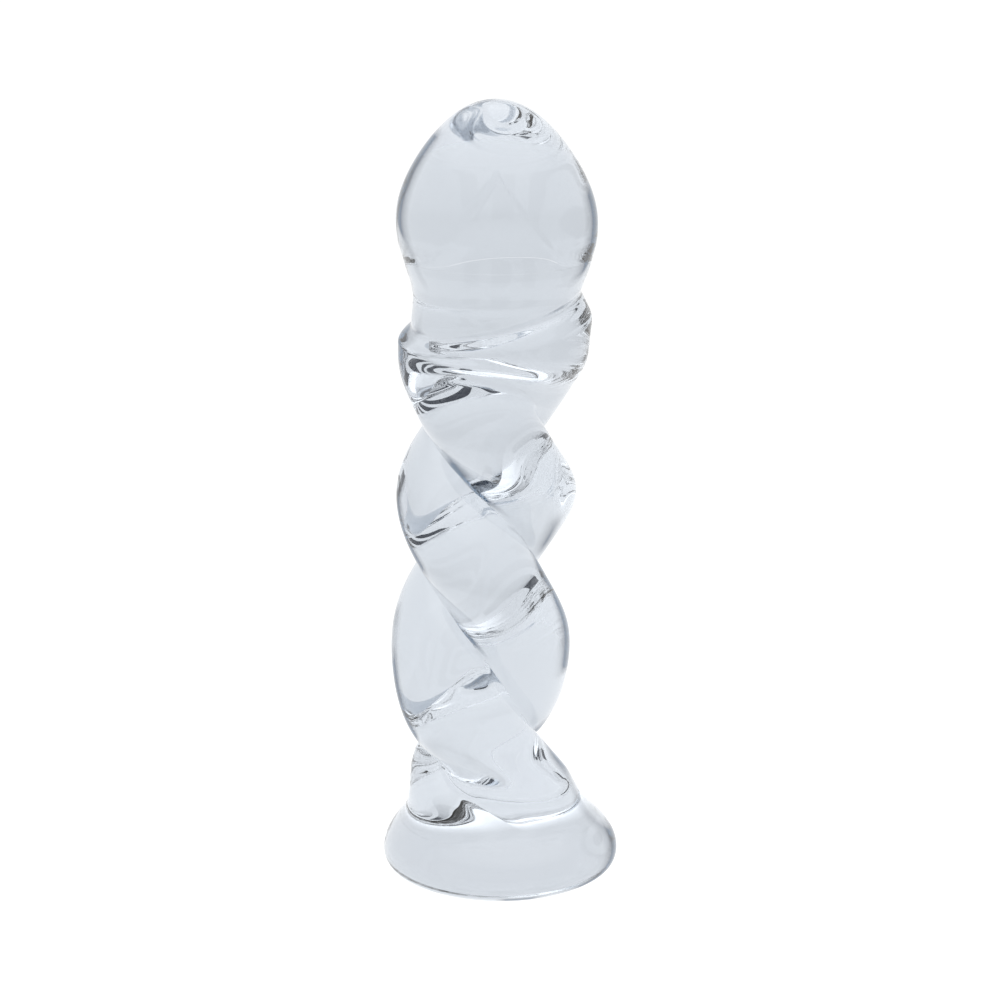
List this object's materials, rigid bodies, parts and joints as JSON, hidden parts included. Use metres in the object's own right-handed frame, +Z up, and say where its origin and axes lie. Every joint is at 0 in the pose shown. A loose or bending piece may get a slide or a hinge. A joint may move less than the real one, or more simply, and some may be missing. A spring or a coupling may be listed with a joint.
{
  "type": "glass dildo",
  "caption": "Solid clear glass dildo: egg-shaped head, short collar, left-hand twisted strand shaft and a round flared foot it stands on",
  "frame": {"origin": "centre of the flat underside of the foot, on the table plane", "axes": "+Z runs up the piece from the foot to the head, its longest direction. -Y is the front, the side the collar's wave and the crossing of the grooves are seen on. +X is to the right seen from the front"},
  "size_m": [0.0522, 0.0522, 0.176],
  "materials": {
    "clear_glass": "fire-polished, colourless with a faint blue-grey cast"
  },
  "bodies": {
    "root": {"foot": "clear_glass", "strand_a": "clear_glass", "strand_b": "clear_glass", "collar": "clear_glass", "head": "clear_glass"}
  },
  "joints": []
}
